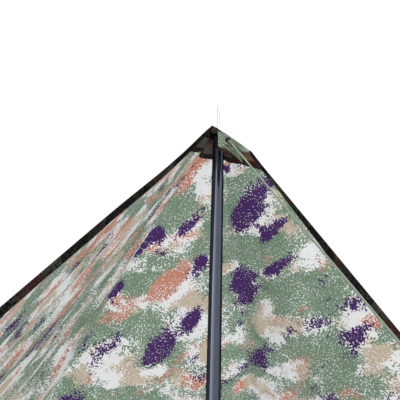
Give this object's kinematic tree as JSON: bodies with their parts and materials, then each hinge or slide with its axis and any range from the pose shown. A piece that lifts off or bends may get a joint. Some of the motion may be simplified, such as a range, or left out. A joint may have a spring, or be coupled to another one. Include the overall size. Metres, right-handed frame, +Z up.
{
  "type": "teepee tent",
  "caption": "Open-front teepee tent: a printed cloth canopy over a telescoping centre pole, pegged at the hem, with a front guyline and tensioner.",
  "frame": {"origin": "centre of the pole foot's sole, on the ground", "axes": "+Z up along the pole; -Y out of the open front, +Y to the back wall; +X to the right seen from the front"},
  "size_m": [2.2334, 1.9674, 1.71],
  "materials": {
    "canopy_cloth": "printed woodland camouflage polyester, semi-matt, lets light through",
    "hem_cloth": "the same cloth folded over, opaque",
    "patch_cloth": "doubled cloth, opaque",
    "tab_cloth": "folded cloth, soft",
    "webbing": "woven polyester webbing",
    "line_cord": "braided polyester cord",
    "pole_tube": "dark slate lacquer, glossy",
    "black_metal": "blackened, satin",
    "steel": "zinc plated, satin",
    "black_plastic": "moulded, satin",
    "lever_plastic": "moulded, satin",
    "foot_rubber": "matt"
  },
  "bodies": {
    "tent": {"canopy_left": "canopy_cloth", "canopy_back": "canopy_cloth", "canopy_right": "canopy_cloth", "hem_front_left": "hem_cloth", "hem_front_right": "hem_cloth", "hem_bottom_left": "hem_cloth", "hem_bottom_back": "hem_cloth", "hem_bottom_right": "hem_cloth", "peak_patch": "patch_cloth", "peak_tab": "tab_cloth", "tab_eyelet": "black_metal", "pole_lower": "pole_tube", "pole_foot": "foot_rubber", "clamp_collar": "black_plastic", "clamp_screw": "steel", "clamp_pin": "steel", "loop_front_left": "webbing", "loop_front_right": "webbing", "loop_side_left": "webbing", "loop_side_right": "webbing", "loop_back_left": "webbing", "loop_back_right": "webbing", "loop_back_middle": "webbing", "guyline": "line_cord", "guyline_knot": "line_cord", "guyline_end_knot": "line_cord"},
    "upper_pole": {"pole_upper": "pole_tube", "pole_top_plug": "black_plastic", "tip_pin": "steel", "pole_guide_plug": "black_plastic", "peak_grommet": "black_metal"},
    "lever": {"clamp_lever": "lever_plastic"},
    "tensioner": {"guyline_tensioner": "black_plastic"},
    "peg_front_left": {"peg_front_left": "steel"},
    "peg_front_right": {"peg_front_right": "steel"},
    "peg_side_left": {"peg_side_left": "steel"},
    "peg_side_right": {"peg_side_right": "steel"},
    "peg_back_left": {"peg_back_left": "steel"},
    "peg_back_right": {"peg_back_right": "steel"},
    "peg_back_middle": {"peg_back_middle": "steel"},
    "peg_guyline": {"peg_guyline": "steel"}
  },
  "joints": [
    {"name": "pole_slide", "type": "slide", "parent": "tent", "child": "upper_pole", "axis": [0, 0, -1], "range_m": [0, 0.35]},
    {"name": "lever_turn", "type": "hinge", "parent": "tent", "child": "lever", "pos_m": [0.0175, -0.027, 0.847], "axis": [0, 0, -1], "range_deg": [0, 110]},
    {"name": "tensioner_slide", "type": "slide", "parent": "tent", "child": "tensioner", "axis": [-0.2276, 0.4775, 0.8486], "range_m": [-0.15, 0]},
    {"name": "peg_front_left_pull", "type": "slide", "parent": "tent", "child": "peg_front_left", "axis": [-0.2071, -0.1553, 0.9659], "range_m": [0, 0.17]},
    {"name": "peg_front_right_pull", "type": "slide", "parent": "tent", "child": "peg_front_right", "axis": [0.2071, -0.1553, 0.9659], "range_m": [0, 0.17]},
    {"name": "peg_side_left_pull", "type": "slide", "parent": "tent", "child": "peg_side_left", "axis": [-0.2489, 0.0711, 0.9659], "range_m": [0, 0.17]},
    {"name": "peg_side_right_pull", "type": "slide", "parent": "tent", "child": "peg_side_right", "axis": [0.2489, 0.0711, 0.9659], "range_m": [0, 0.17]},
    {"name": "peg_back_left_pull", "type": "slide", "parent": "tent", "child": "peg_back_left", "axis": [-0.183, 0.183, 0.9659], "range_m": [0, 0.17]},
    {"name": "peg_back_right_pull", "type": "slide", "parent": "tent", "child": "peg_back_right", "axis": [0.183, 0.183, 0.9659], "range_m": [0, 0.17]},
    {"name": "peg_back_middle_pull", "type": "slide", "parent": "tent", "child": "peg_back_middle", "axis": [0, 0.2588, 0.9659], "range_m": [0, 0.17]},
    {"name": "peg_guyline_pull", "type": "slide", "parent": "tent", "child": "peg_guyline", "axis": [0.1123, -0.2332, 0.9659], "range_m": [0, 0.17]}
  ]
}
